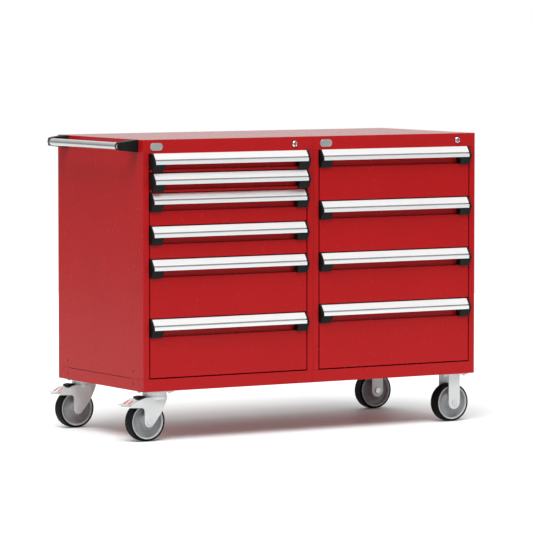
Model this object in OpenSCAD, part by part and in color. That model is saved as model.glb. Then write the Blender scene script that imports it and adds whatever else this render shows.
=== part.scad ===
// Rolling tool chest: two drawer housings bolted side by side on four casters,
// with a push handle on the left side. Millimetres, +Z up, drawers open towards -Y.
// The origin is on the floor, under the middle of the whole chest's box.

/* [Housing] */
// Width of one of the two housings
bay_w = 762; // [600:1:920]
// Depth of the housings, front plane to back
body_d = 685.8; // [560:0.1:840]
// Thickness of the housing's sheet
sheet = 1.5; // [1:0.1:2.5]
// Width of the posts beside each drawer opening
post_w = 25.4; // [22:0.1:40]
// Depth of the folded posts and uprights
post_d = 40; // [30:1:60]
// Height of the rail under the drawers
base_rail_h = 48.6; // [40:0.1:80]
// Height of the rail over the drawers
top_rail_h = 53; // [44:0.1:80]
// Thickness of the plate that the casters are bolted to
base_t = 3; // [2:0.5:5]

/* [Drawer stack] */
// Height of one drawer unit
unit_h = 25.4; // [25.4:0.1:32]
// Height of each stack of drawers, in units
stack_units = 34; // [30:1:40]
// Units of left drawer 1, at the top
left_1 = 3; // [3:1:5]
// Units of left drawer 2
left_2 = 3; // [3:1:5]
// Units of left drawer 3
left_3 = 5; // [3:1:6]
// Units of left drawer 4
left_4 = 5; // [3:1:6]
// Units of left drawer 5; drawer 6 takes the rest
left_5 = 9; // [3:1:9]
// Units of right drawer 1, at the top
right_1 = 8; // [3:1:9]
// Units of right drawer 2
right_2 = 8; // [3:1:9]
// Units of right drawer 3; drawer 4 takes the rest
right_3 = 8; // [3:1:9]

/* [Drawers] */
// Gap beside each drawer front
side_gap = 5; // [3:0.5:8]
// Gap between one drawer front and the next
row_gap = 4; // [3:0.5:6]
// Depth of a drawer front's folded pan
front_t = 20; // [18:1:30]
// How far the three-unit drawers' fronts stand proud of the others
shallow_proud = 12; // [0:1:16]
// Thickness of the drawer's sheet
tray_t = 1.2; // [0.9:0.1:2]
// Room between the back of a drawer's box and the back of the housing
tray_back_gap = 65.8; // [50:0.1:120]
// Height of the box's rim below the drawer's top line
rim_drop = 16; // [14:1:24]
// Height of the drawer's floor above the foot of its front
floor_rise = 6; // [4:1:10]

/* [Pulls] */
// Depth of the finger recess behind a pull
recess_d = 14; // [8:1:14]
// Height of the finger recess
recess_h = 68; // [60:1:68]
// Height of the aluminium pull
pull_h = 41.5; // [40:0.5:48]
// Wall of the aluminium pull
pull_t = 2.2; // [1.6:0.1:3]
// How far the pull's lip stands in front of the drawer
pull_reach = 22.5; // [20:0.5:30]
// Thickness of the end plate of a pull's cap
cap_t = 7; // [3:0.5:8]
// Height of a pull's cap
cap_h = 71; // [68:0.5:71]
// Width of the block under the pull at each end
cap_block_w = 51; // [30:1:80]

/* [Slides] */
// Width of a telescopic slide
slide_w = 12.7; // [12.7:0.1:16]
// Height of the slide's fixed rail
slide_h = 36; // [32:1:40]
// Sheet of the slide's three members
slide_t = 1.5; // [1.2:0.1:1.8]
// Play between the slide's members, above and below
slide_play = 2; // [1:0.1:2.5]
// How much shorter the slide's members are than the drawer's box
slide_short = 10; // [5:1:40]
// Height of the slide's middle above the foot of the drawer's front
slide_rise = 28; // [26:1:32]

/* [Locks] */
// Diameter of the lock's bezel
bezel_d = 24; // [20:0.5:28]
// How far the bezel stands out
bezel_out = 7; // [4:0.5:9]
// Diameter of the lock's turning plug
plug_d = 14; // [10:0.5:15]
// Distance of the lock from the housing's right side
lock_inset = 86; // [60:1:200]

/* [Push handle] */
// Diameter of the handle's tube
grip_d = 28.6; // [22:0.1:38]
// Distance from the housing's side to the tube's centre
grip_out = 66; // [55:1:80]
// Depth of the tube's centre below the top
grip_drop = 25; // [24:0.1:60]
// Distance from the front plane to the handle's front bracket
bracket_inset = 36.5; // [20:0.5:120]
// Width of a bracket's base
bracket_w = 53; // [46:1:80]

/* [Casters] */
// Diameter of the wheels
wheel_d = 152.4; // [110:0.1:180]
// Width of a tyre
tyre_w = 50.8; // [36:0.1:52]
// Diameter of the axles
axle_d = 12; // [10:0.5:16]
// Distance from the housing's sides to the casters' middles
caster_inset_x = 81; // [60:1:120]
// Distance from the housing's front and back to the casters' middles
caster_inset_y = 58.3; // [55:0.1:100]
// Width of a fork over its legs
fork_w = 75; // [62:0.5:90]
// Thickness of a fork's sheet
fork_t = 4; // [3:0.5:4.5]
// Distance from the swivel axis back to the wheel's centre
trail = 43; // [30:1:48]
// Width of a rigid fork's legs
leg_w = 52; // [40:1:60]

/* [Hidden] */
$fn = 64;
eps = 0.01;
cut = 1;              // how far a cutting shape runs past what it cuts

LEFT_NAMES = ["l1", "l2", "l3", "l4", "l5", "l6"];
RIGHT_NAMES = ["r1", "r2", "r3", "r4"];
COLUMN_NAMES = concat(LEFT_NAMES, RIGHT_NAMES);

function total(list, n) = n == 0 ? 0 : list[n - 1] + total(list, n - 1);

// Drawer heights in units, top to bottom; the last one takes what is left
left_upper = [left_1, left_2, left_3, left_4, left_5];
right_upper = [right_1, right_2, right_3];
left_units = concat(left_upper, [stack_units - total(left_upper, 5)]);
right_units = concat(right_upper, [stack_units - total(right_upper, 3)]);

body_h = base_rail_h + stack_units * unit_h + top_rail_h;
opening_w = bay_w - 2 * post_w;
opening_top = body_h - top_rail_h;
front_w = opening_w - 2 * side_gap;
front_x = post_w + side_gap;
tray_l = body_d - front_t - tray_back_gap;
slide_l = tray_l - slide_short;
tray_w = opening_w - 2 * slide_w;
tray_x = post_w + slide_w;
shallow_units = 3;

// Caster heights, measured down from the housing
plate_t = 5;
race_drop = 21;       // top of the fork's crown
crown_t = 5;
crown_skirt = 12;     // height of the crown's rim
wheel_gap = 8.3;      // from the crown's rim to the wheel
wheel_r = wheel_d / 2;
caster_h = race_drop + crown_skirt + wheel_gap + wheel_d;
axle_drop = caster_h - wheel_r;
inner_half = fork_w / 2 - fork_t;
running = 0.05;       // radial play of a shaft in its bore

// Brake pedal, measured from the swivel axis
pedal_tip = 146;
pedal_w = 2 * inner_half - 9;

// Push handle
bracket_wall = 1.5;   // of the bracket round the tube
bracket_out = grip_out + grip_d / 2 + bracket_wall;

// Middle of the whole chest's box
x_low = min(caster_inset_x - pedal_tip, -bracket_out);
x_high = 2 * bay_w;
pull_nose = pull_reach + 1;
y_low = -pull_nose - shallow_proud;
place_offset = [-(x_low + x_high) / 2, -(y_low + body_d) / 2, caster_h];

red = [0.72, 0.13, 0.14];
bare = [0.80, 0.80, 0.80];
zinc = [0.70, 0.71, 0.72];
black = [0.09, 0.09, 0.09];
grey = [0.55, 0.56, 0.57];

// Moves from the housing's corner frame (left side, front plane, underside) to the chest's own
module placed() translate(place_offset) children();

// Extrudes an outline drawn in (y, z) along +X
module along_x(length) rotate([90, 0, 90]) linear_extrude(length) children();

// Extrudes an outline drawn in (x, z) along +Y
module along_y(length) mirror([0, 1, 0]) rotate([90, 0, 0]) linear_extrude(length) children();

// A box from one corner to the opposite one
module block(low, high) translate(low) cube(high - low);

module disc_y(r, y0, y1, sides = 64)
    translate([0, y0, 0]) rotate([-90, 0, 0]) cylinder(r = r, h = y1 - y0, $fn = sides);

// ---------------------------------------------------------------- housing

module bolt_places(px, py)
    for (sx = [-1, 1], sy = [-1, 1]) translate([sx * px / 2, sy * py / 2, 0]) children();

bolt_px = 92;
bolt_py = 76;
bolt_r = 4;
bolt_hole_r = 4.5;

module caster_places()
    for (x = [caster_inset_x, 2 * bay_w - caster_inset_x],
         y = [caster_inset_y, body_d - caster_inset_y])
        translate([x, y, 0]) children();

barrel_r = bezel_d / 2 - 2;
lock_z = body_h - top_rail_h / 2 - 0.8;
rear_y = front_t + slide_l - 10;
side_margin = 0.4;
lock_x = bay_w - lock_inset;

module housing_shell(x0) {
    back = body_d - sheet;
    difference() {
        union() {
            // side walls and top
            block([x0, 0, 0], [x0 + sheet, back, body_h]);
            block([x0 + bay_w - sheet, 0, 0], [x0 + bay_w, back, body_h]);
            block([x0, 0, body_h - sheet], [x0 + bay_w, back, body_h]);
            // plate for the casters, and the floor over it
            block([x0, 0, 0], [x0 + bay_w, back, base_t]);
            block([x0, 0, base_rail_h - sheet], [x0 + bay_w, back, base_rail_h]);
            // front frame: rails and folded posts
            block([x0, 0, 0], [x0 + bay_w, sheet, base_rail_h]);
            block([x0, 0, opening_top], [x0 + bay_w, sheet, body_h]);
            block([x0 + post_w, 0, opening_top], [x0 + bay_w - post_w, post_d, opening_top + sheet]);
            for (px = [x0, x0 + bay_w - post_w])
                block([px, 0, 0], [px + post_w, sheet, body_h]);
            for (px = [x0 + post_w - sheet, x0 + bay_w - post_w])
                block([px, 0, base_rail_h - sheet], [px + sheet, post_d, opening_top + sheet]);
            // rear uprights
            for (px = [x0, x0 + bay_w - post_w])
                block([px, rear_y, base_rail_h - sheet], [px + post_w, rear_y + sheet, body_h]);
            for (px = [x0 + post_w - sheet, x0 + bay_w - post_w])
                block([px, rear_y - post_d, base_rail_h - sheet],
                      [px + sheet, rear_y + sheet, opening_top + sheet]);
        }
        // hole for the lock
        translate([x0 + lock_x, 0, lock_z]) disc_y(barrel_r, -cut, sheet + cut);
        // holes for the casters' bolts
        caster_places() bolt_places(bolt_px, bolt_py)
            translate([0, 0, -cut]) cylinder(r = bolt_hole_r, h = base_t + 2 * cut);
    }
}

module housing_left() { color(red) placed() housing_shell(0); }

module housing_right() { color(red) placed() housing_shell(bay_w); }

module back_panels() {
    color(red) placed() for (x0 = [0, bay_w])
        block([x0 + side_margin, body_d - sheet, 0], [x0 + bay_w - side_margin, body_d, body_h]);
}

// ---------------------------------------------------------------- drawers

top_play = 1;         // from a drawer's top line down to its sheet
function drawer_h(units) = units * unit_h - row_gap;
function recess_z(units) = -min(recess_h, drawer_h(units) - 10);
function proud(units) = units <= shallow_units ? shallow_proud : 0;
function top_z(list, i) = base_rail_h + (stack_units - total(list, i)) * unit_h;

// Moves to a drawer's frame: its housing's left side, its front plane, its top line
module drawer_place(column, i) {
    list = column == "l" ? left_units : right_units;
    translate([column == "l" ? 0 : bay_w, -proud(list[i]), top_z(list, i)]) children();
}

module drawer(column, i) {
    units = (column == "l" ? left_units : right_units)[i];
    color(red) placed() drawer_place(column, i) {
        drawer_front(drawer_h(units), recess_z(units));
        tray(drawer_h(units));
        for (side = [0, 1]) runner(side, drawer_h(units), proud(units));
    }
}

// Folded front: flat face, finger recess above it, and returns at the sides, foot and top
module drawer_front(h, ledge) {
    translate([front_x, 0, 0]) along_x(front_w) {
        translate([0, -h]) square([sheet, h + ledge]);
        translate([0, ledge - sheet]) square([recess_d + sheet, sheet]);
        translate([recess_d, ledge - sheet]) square([sheet, sheet - top_play - ledge]);
        translate([recess_d, -top_play - sheet]) square([front_t - recess_d, sheet]);
        translate([0, -h]) square([front_t, sheet]);
    }
    for (x = [front_x, front_x + front_w - sheet])
        block([x, 0, -h], [x + sheet, front_t, ledge]);
}

module tray(h) {
    floor_z = -h + floor_rise;
    rim = -rim_drop;
    x1 = tray_x + tray_w;
    y0 = front_t;
    y1 = front_t + tray_l;
    block([tray_x, y0 - tray_t, -h], [x1, y0, -top_play]);
    block([tray_x, y0 - tray_t, floor_z], [x1, y1, floor_z + tray_t]);
    for (x = [tray_x, x1 - tray_t])
        block([x, y0 - tray_t, floor_z], [x + tray_t, y1, rim]);
    block([tray_x, y1 - tray_t, floor_z], [x1, y1, rim]);
}

// Heights of the three nested slide members
carriage_h = slide_h - 2 * slide_t - 2 * slide_play;
runner_h = carriage_h - 2 * slide_t - 2 * slide_play;

// Draws a slide member's section for one side; s runs from the opening's edge inwards
module slide_member(side, h, y0, length) {
    translate([0, y0, -h + slide_rise])
        if (side == 0) translate([post_w, 0, 0]) along_y(length) children();
        else translate([bay_w - post_w, 0, 0]) mirror([1, 0, 0]) along_y(length) children();
}

module channel_section(s0, s1, height, web_at) {
    translate([web_at, -height / 2]) square([slide_t, height]);
    for (z = [-height / 2, height / 2 - slide_t]) translate([s0, z]) square([s1 - s0, slide_t]);
}

module runner(side, h, out)
    slide_member(side, h, front_t + out, slide_l)
        channel_section(slide_w * 0.63, slide_w + eps, runner_h, slide_w + eps - slide_t);

module carriages(column, i) {
    units = (column == "l" ? left_units : right_units)[i];
    color(zinc) placed() drawer_place(column, i)
        for (side = [0, 1])
            slide_member(side, drawer_h(units), front_t + proud(units), slide_l)
                channel_section(slide_w * 0.25, slide_w * 0.72, carriage_h, slide_w * 0.42);
}

module slide_rails(column) {
    list = column == "l" ? left_units : right_units;
    color(zinc) placed()
        for (i = [0:len(list) - 1], side = [0, 1])
            drawer_place(column, i)
                slide_member(side, drawer_h(list[i]), front_t + proud(list[i]), slide_l)
                    channel_section(0, slide_w * 0.85, slide_h, 0);
}

// ---------------------------------------------------------------- pulls

slope_top = 3;        // reach of the sloping face at its upper edge
slope_out = pull_reach - 3.5;
slope_z = -22.5;
groove_z = -28;
groove_out = slope_out - 4;
flange_z = -22;       // foot of the flange that holds the pull
lip_edge = 2;

// Aluminium section: sloping face, groove, lip, and a flange on the recess's back
module pull_section() {
    difference() {
        polygon([[recess_d, flange_z], [recess_d, 0], [-slope_top, 0], [-slope_out, slope_z],
                 [-groove_out, slope_z - 1], [-groove_out, groove_z],
                 [-pull_reach + lip_edge, groove_z - 0.5], [-pull_reach, groove_z - lip_edge],
                 [-pull_reach, -pull_h + lip_edge], [-pull_reach + lip_edge, -pull_h],
                 [-pull_reach + pull_t, -pull_h], [-pull_reach + pull_t, groove_z - pull_t - 1],
                 [0, groove_z - pull_t - 1], [0, flange_z]]);
        polygon([[recess_d - pull_t, -pull_h - cut], [recess_d - pull_t, -pull_t],
                 [-slope_top + 1.4, -pull_t], [-groove_out + pull_t, slope_z],
                 [-groove_out + pull_t, groove_z - pull_t - 0.5],
                 [-pull_reach + pull_t, groove_z - pull_t - 0.5],
                 [-pull_reach + pull_t, -pull_h - cut]]);
    }
}

cap_play = 0.2;

// Outline of the cap's end plate, seen from the side
module cap_section(ledge)
    polygon([[recess_d, 0], [-slope_top, 0], [-pull_nose, groove_z - 5], [-pull_nose, -pull_h + 1],
             [-8, -cap_h], [0, -cap_h], [0, ledge], [recess_d, ledge]]);

module cap(ledge) {
    along_x(cap_t) cap_section(ledge);
    intersection() {
        along_x(cap_block_w) cap_section(ledge);
        translate([0, -pull_nose - cut, 0]) along_y(pull_nose + recess_d + 2 * cut)
            polygon([[0, -pull_h - cap_play], [cap_block_w, -pull_h - cap_play],
                     [cap_block_w - 4, -cap_h], [0, -cap_h]]);
    }
}

// The aluminium pull, with its two end caps
module pull(column, i) {
    units = (column == "l" ? left_units : right_units)[i];
    ledge = recess_z(units);
    placed() drawer_place(column, i) {
        color(bare) translate([front_x + cap_t + cap_play, 0, 0])
            along_x(front_w - 2 * cap_t - 2 * cap_play) pull_section();
        color(black) translate([front_x, 0, 0]) cap(ledge);
        color(black) translate([front_x + front_w, 0, 0]) mirror([1, 0, 0]) cap(ledge);
    }
}

// ---------------------------------------------------------------- locks

cam_y = 18;
cam_t = 2;
bar_y = cam_y + cam_t + 0.5;
bar_t = 4;
bar_w = 12;
arm_h = 8;
arm_z = opening_top + sheet + 3.1;    // foot of the lock bar's arm

module lock_places() for (x0 = [0, bay_w]) translate([x0 + lock_x, 0, lock_z]) children();

module lock_barrels() {
    color(zinc) placed() lock_places() difference() {
        union() {
            translate([0, -bezel_out, 0]) rotate([-90, 0, 0])
                cylinder(r1 = bezel_d / 2 - 2, r2 = bezel_d / 2, h = 2);
            disc_y(bezel_d / 2, 2 - bezel_out, 0);
            disc_y(barrel_r, -eps, cam_y - 1);
        }
        disc_y(plug_d / 2 + running, -bezel_out - cut, cam_y + cut);
    }
}

// Turning plug with its keyhole and the cam behind it
module lock_plug(x0) {
    color(grey) placed() translate([x0 + lock_x, 0, lock_z]) {
        difference() {
            disc_y(plug_d / 2, -bezel_out + 0.8, cam_y);
            block([-1.1, -bezel_out - cut, -4.2], [1.1, -bezel_out + 6, 4.2]);
        }
        difference() {
            block([-6, cam_y, arm_z + 1 - lock_z], [6, cam_y + cam_t, 6]);
            translate([0, 0, arm_z + 6 - lock_z]) disc_y(1.6, cam_y - cut, cam_y + cam_t + cut);
        }
    }
}

module lock_plug_left() { lock_plug(0); }

module lock_plug_right() { lock_plug(bay_w); }

// Bar in the right-hand post, with an arm that reaches the lock's cam
module lock_bar(x0) {
    bar_x = x0 + bay_w - post_w / 2 - 7;
    color(zinc) placed() {
        block([bar_x, bar_y, base_rail_h + 12], [bar_x + bar_w, bar_y + bar_t, arm_z + arm_h]);
        block([x0 + lock_x - 8, bar_y, arm_z], [bar_x + bar_w, bar_y + bar_t, arm_z + arm_h]);
    }
}

module lock_bar_left() { lock_bar(0); }

module lock_bar_right() { lock_bar(bay_w); }

// ---------------------------------------------------------------- push handle

grip_z = body_h - grip_drop;
tube_wall = 2;
bend_r = 45;
socket = 14;          // how far the tube goes into a bracket
bracket_lean = 14;    // how far a bracket's base reaches past its mouth
base_half = 24;       // half the height of a bracket's base
base_z = body_h - 0.5 - base_half;
tube_y0 = bracket_inset + bracket_w - bracket_lean;

module push_handle_tube() {
    color(bare) placed() translate([-grip_out, 0, grip_z]) difference() {
        disc_y(grip_d / 2, tube_y0 - socket, body_d - tube_y0 + socket);
        disc_y(grip_d / 2 - tube_wall, tube_y0 - socket - cut, body_d - tube_y0 + socket + cut);
    }
}

// Elbow from the housing's side round to the tube's end, seen from above
module bracket_plan() {
    intersection() {
        union() {
            translate([-bracket_out + bend_r, bracket_inset + bend_r]) circle(r = bend_r);
            translate([-bracket_out + bend_r, bracket_inset]) square([bracket_out - bend_r, bracket_w]);
        }
        polygon([[0, bracket_inset - cut], [-bracket_out - cut, bracket_inset - cut],
                 [-bracket_out - cut, tube_y0], [-grip_out + grip_d / 2 + bracket_wall, tube_y0],
                 [0, bracket_inset + bracket_w]]);
    }
}

// Elbow seen from the front: round at the tube, as high as its base at the housing
module bracket_face() hull() {
    translate([-grip_out, grip_z]) circle(r = grip_d / 2 + bracket_wall);
    translate([-6, base_z - base_half]) square([6, 2 * base_half]);
}

module bracket() {
    difference() {
        intersection() {
            translate([0, 0, base_z - base_half - cut])
                linear_extrude(2 * (base_half + cut)) bracket_plan();
            translate([0, bracket_inset - cut, 0]) along_y(bracket_w + 2 * cut) bracket_face();
        }
        translate([-grip_out, 0, grip_z]) disc_y(grip_d / 2, tube_y0 - socket, tube_y0 + cut);
    }
}

module push_handle_brackets() {
    color(black) placed() {
        bracket();
        translate([0, body_d, 0]) mirror([0, 1, 0]) bracket();
    }
}

// ---------------------------------------------------------------- casters

hub_r = wheel_r - 8;
shoulder = 7;         // radius of the tyre's edges
hub_play = 3.5;       // between the hub and a fork's leg
hub_w = 2 * (inner_half - hub_play);
boss_r = 19;
crown_r = 48.5;
wrap_x = 11;          // middle of the fork's rounded front
pin_r = 8;
axle_end_r = 20.3;
head_r = axle_d / 2 + 5.5;
plate_half_x = 57.5;
plate_half_y = 50;

module caster_at(x, y) placed() translate([x, y, 0]) children();

module plate_with_holes() difference() {
    block([-plate_half_x, -plate_half_y, -plate_t], [plate_half_x, plate_half_y, 0]);
    bolt_places(bolt_px, bolt_py) translate([0, 0, -plate_t - cut])
        cylinder(r = bolt_hole_r, h = plate_t + 2 * cut);
}

module swivel_plate() {
    plate_with_holes();
    // race, and the king pin with its head
    translate([0, 0, -race_drop + 0.5]) cylinder(r = 46.5, h = race_drop - plate_t - 0.5);
    translate([0, 0, -race_drop - crown_t - 1]) cylinder(r = pin_r, h = crown_t + 2);
    translate([0, 0, -race_drop - crown_t - 5]) cylinder(r = 14, h = 4.5);
}

module swivel_plates() {
    color(zinc) for (y = [caster_inset_y, body_d - caster_inset_y])
        caster_at(caster_inset_x, y) swivel_plate();
}

module rigid_forks() {
    color(zinc) for (y = [caster_inset_y, body_d - caster_inset_y])
        caster_at(2 * bay_w - caster_inset_x, y) {
            plate_with_holes();
            difference() {
                union() {
                    block([-leg_w / 2, -fork_w / 2, -axle_drop], [leg_w / 2, fork_w / 2, -plate_t]);
                    translate([0, 0, -axle_drop]) disc_y(leg_w / 2, -fork_w / 2, fork_w / 2);
                }
                block([-leg_w, -inner_half, -axle_drop - leg_w], [leg_w, inner_half, -plate_t - fork_t]);
                translate([0, 0, -axle_drop]) disc_y(axle_d / 2 + running, -fork_w, fork_w);
            }
        }
}

// Bolts that hold the casters' plates to the base, heads below
module caster_bolts() {
    color(zinc) placed() caster_places() bolt_places(bolt_px, bolt_py) {
        translate([0, 0, -plate_t - 5.3]) cylinder(r = 7.5, h = 5.3, $fn = 6);
        translate([0, 0, -plate_t - 1]) cylinder(r = bolt_r, h = plate_t + base_t + 9);
    }
}

// Side outline of a swivel fork: sloping tail, leg, round axle end, slanted front edge
module fork_side() {
    polygon([[crown_r, -race_drop], [-33, -race_drop - 1.5], [-60, -race_drop - 3],
             [-116, -race_drop - 22], [-127.7, -race_drop - 34], [-127.7, -race_drop - 38.5],
             [-73.8, -race_drop - 40.7], [-66, -race_drop - 45],
             [-trail - axle_end_r, -race_drop - 53],
             [-trail - axle_end_r, -axle_drop], [-trail, -axle_drop],
             [-trail + axle_end_r * 0.77, -axle_drop - axle_end_r * 0.64],
             [7.4, -race_drop - 65.8], [24.1, -race_drop - 35.5],
             [38.3, -race_drop - 16.7], [crown_r, -race_drop - crown_skirt]]);
    translate([-trail, -axle_drop]) circle(r = axle_end_r);
}

// Plan of a swivel fork: straight legs joined by a rounded front
module fork_plan(half) {
    translate([wrap_x, 0]) circle(r = half);
    translate([-140, -half]) square([140 + wrap_x, 2 * half]);
}

pivot_x = -88;
pivot_z = -race_drop - 24;
pivot_r = 3;
knob_half = 16;

module swivel_fork(y) {
    color(zinc) caster_at(caster_inset_x, y) difference() {
        union() {
            intersection() {
                translate([0, 0, -axle_drop - 40]) linear_extrude(axle_drop + 40) difference() {
                    fork_plan(fork_w / 2);
                    fork_plan(inner_half);
                }
                translate([0, -fork_w / 2 - cut, 0]) along_y(fork_w + 2 * cut) fork_side();
            }
            // crown with its rim
            difference() {
                translate([0, 0, -race_drop - crown_skirt]) cylinder(r = crown_r, h = crown_skirt);
                translate([0, 0, -race_drop - crown_skirt - cut])
                    cylinder(r = crown_r - fork_t, h = crown_skirt + cut - crown_t);
            }
        }
        translate([0, 0, -race_drop - crown_skirt]) cylinder(r = pin_r + running, h = crown_skirt + cut);
        translate([-trail, 0, -axle_drop]) disc_y(axle_d / 2 + running, -fork_w, fork_w);
        translate([pivot_x, 0, pivot_z]) disc_y(pivot_r + running, -fork_w, fork_w);
    }
}

module swivel_fork_front() { swivel_fork(caster_inset_y); }

module swivel_fork_rear() { swivel_fork(body_d - caster_inset_y); }

// Axle bolt with a low round head and a nut
module axle() {
    disc_y(axle_d / 2, -fork_w / 2 - 1, fork_w / 2 + 9);
    disc_y(head_r, -fork_w / 2 - 5, -fork_w / 2 - 0.02);
    disc_y(head_r - 1, fork_w / 2 + 0.02, fork_w / 2 + 8, 6);
}

module swivel_axle(y)
    color(zinc) caster_at(caster_inset_x - trail, y) translate([0, 0, -axle_drop]) axle();

module swivel_axle_front() { swivel_axle(caster_inset_y); }

module swivel_axle_rear() { swivel_axle(body_d - caster_inset_y); }

module rigid_axles() {
    color(zinc) for (y = [caster_inset_y, body_d - caster_inset_y])
        caster_at(2 * bay_w - caster_inset_x, y) translate([0, 0, -axle_drop]) axle();
}

// Foot lever of the total brake, with its release knob
module brake_pedal(y) {
    color(zinc) caster_at(caster_inset_x, y) {
        translate([0, -pedal_w / 2, 0]) along_y(pedal_w)
            polygon([[-pedal_tip, -race_drop - 27.5], [-125, -race_drop - 26], [-105, -race_drop - 14.5],
                     [-84, -race_drop - 12], [-84, -race_drop - 14.5], [-104, -race_drop - 17],
                     [-124, -race_drop - 29], [-pedal_tip, -race_drop - 30.5]]);
        translate([pivot_x, 0, pivot_z]) {
            disc_y(5.5, -pedal_w / 2, pedal_w / 2);
            disc_y(pivot_r, -fork_w / 2, fork_w / 2);
        }
        for (side = [-1, 1]) translate([0, side * (pedal_w / 2 - 1.5) - 1.5, 0]) along_y(3)
            polygon([[-124, -race_drop - 27], [-105, -race_drop - 16], [-84, -race_drop - 13],
                     [pivot_x + 5, pivot_z], [pivot_x, pivot_z - 5], [-104, -race_drop - 29]]);
        translate([-100, 0, -race_drop - 11.6]) disc_y(7, -knob_half, knob_half);
    }
}

module brake_pedal_front() { brake_pedal(caster_inset_y); }

module brake_pedal_rear() { brake_pedal(body_d - caster_inset_y); }

// Dished hub: rim, web and a long boss, bored for the axle
module hub(x, y) {
    half = tyre_w / 2 - 2;
    color(grey) caster_at(x, y) translate([0, 0, -axle_drop]) rotate([90, 0, 0]) rotate_extrude($fn = 96)
        polygon([[axle_d / 2 + running, -hub_w / 2], [boss_r - 2, -hub_w / 2], [boss_r + 6, -9],
                 [hub_r - 8, -6], [hub_r - 5, -half], [hub_r, -half],
                 [hub_r, half], [hub_r - 5, half], [hub_r - 8, 6],
                 [boss_r + 6, 9], [boss_r - 2, hub_w / 2], [axle_d / 2 + running, hub_w / 2]]);
}

// Tyre with rounded shoulders, moulded on the hub
module tyre_section() intersection() {
    translate([hub_r, -tyre_w / 2]) square([wheel_r - hub_r, tyre_w]);
    union() {
        translate([hub_r, -tyre_w / 2]) square([wheel_r - hub_r - shoulder, tyre_w]);
        translate([hub_r, -tyre_w / 2 + shoulder]) square([wheel_r - hub_r, tyre_w - 2 * shoulder]);
        for (s = [-1, 1]) translate([wheel_r - shoulder, s * (tyre_w / 2 - shoulder)]) circle(r = shoulder);
    }
}

module tyre(x, y) {
    color(black) caster_at(x, y) translate([0, 0, -axle_drop]) rotate([90, 0, 0])
        rotate_extrude($fn = 96) tyre_section();
}

swivel_x = caster_inset_x - trail;
rigid_x = 2 * bay_w - caster_inset_x;
front_y = caster_inset_y;
back_y = body_d - caster_inset_y;

module hub_front_left() { hub(swivel_x, front_y); }

module hub_rear_left() { hub(swivel_x, back_y); }

module hub_front_right() { hub(rigid_x, front_y); }

module hub_rear_right() { hub(rigid_x, back_y); }

module tyre_front_left() { tyre(swivel_x, front_y); }

module tyre_rear_left() { tyre(swivel_x, back_y); }

module tyre_front_right() { tyre(rigid_x, front_y); }

module tyre_rear_right() { tyre(rigid_x, back_y); }

// ---------------------------------------------------------------- drawing
drawer("l", 0);  // drawer_l1
drawer("l", 1);  // drawer_l2
drawer("l", 2);  // drawer_l3
drawer("l", 3);  // drawer_l4
drawer("l", 4);  // drawer_l5
drawer("l", 5);  // drawer_l6
drawer("r", 0);  // drawer_r1
drawer("r", 1);  // drawer_r2
drawer("r", 2);  // drawer_r3
drawer("r", 3);  // drawer_r4
pull("l", 0);  // pull_l1
pull("l", 1);  // pull_l2
pull("l", 2);  // pull_l3
pull("l", 3);  // pull_l4
pull("l", 4);  // pull_l5
pull("l", 5);  // pull_l6
pull("r", 0);  // pull_r1
pull("r", 1);  // pull_r2
pull("r", 2);  // pull_r3
pull("r", 3);  // pull_r4
carriages("l", 0);  // carriages_l1
carriages("l", 1);  // carriages_l2
carriages("l", 2);  // carriages_l3
carriages("l", 3);  // carriages_l4
carriages("l", 4);  // carriages_l5
carriages("l", 5);  // carriages_l6
carriages("r", 0);  // carriages_r1
carriages("r", 1);  // carriages_r2
carriages("r", 2);  // carriages_r3
carriages("r", 3);  // carriages_r4
slide_rails("l");  // slide_rails_left
slide_rails("r");  // slide_rails_right
housing_left();
housing_right();
back_panels();
push_handle_tube();
push_handle_brackets();
lock_barrels();
lock_plug_left();
lock_plug_right();
lock_bar_left();
lock_bar_right();
rigid_forks();
rigid_axles();
swivel_plates();
caster_bolts();
swivel_fork_front();
swivel_fork_rear();
swivel_axle_front();
swivel_axle_rear();
brake_pedal_front();
brake_pedal_rear();
hub_front_left();
hub_rear_left();
hub_front_right();
hub_rear_right();
tyre_front_left();
tyre_rear_left();
tyre_front_right();
tyre_rear_right();
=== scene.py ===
"""Looks of the rolling tool chest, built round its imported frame.

The sub-assemblies are classes that hold their own sizes in millimetres. They build in the
corner frame: x from the chest's left side, y from the drawers' front plane, z from the
housings' underside.
"""

import logging
import math
from dataclasses import dataclass, field
from enum import Enum

import bmesh
import bpy
from mathutils import Matrix, Vector

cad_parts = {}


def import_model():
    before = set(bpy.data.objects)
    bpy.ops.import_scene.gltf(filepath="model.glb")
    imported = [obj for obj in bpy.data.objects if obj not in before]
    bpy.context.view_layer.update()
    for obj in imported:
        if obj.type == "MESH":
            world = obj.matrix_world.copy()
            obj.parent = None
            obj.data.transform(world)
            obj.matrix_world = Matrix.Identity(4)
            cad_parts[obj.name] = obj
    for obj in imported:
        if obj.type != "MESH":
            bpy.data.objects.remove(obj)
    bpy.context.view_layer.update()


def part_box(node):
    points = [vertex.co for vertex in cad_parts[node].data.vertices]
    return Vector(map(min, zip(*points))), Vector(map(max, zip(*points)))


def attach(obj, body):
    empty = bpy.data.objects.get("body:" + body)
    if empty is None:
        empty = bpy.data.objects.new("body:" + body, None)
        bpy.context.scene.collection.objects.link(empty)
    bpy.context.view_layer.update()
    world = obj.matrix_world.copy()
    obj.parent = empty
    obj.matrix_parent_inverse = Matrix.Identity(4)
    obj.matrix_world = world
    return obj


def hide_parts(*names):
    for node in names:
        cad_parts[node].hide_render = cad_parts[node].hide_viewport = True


LOG = logging.getLogger("tool_chest")
MM = 0.001

Point2 = tuple[float, float]
Point3 = tuple[float, float, float]


class Axis(Enum):
    """Direction that an outline is extruded along, with the plane it is drawn in."""

    X = ("y", "z")
    Y = ("x", "z")
    Z = ("x", "y")


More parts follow.
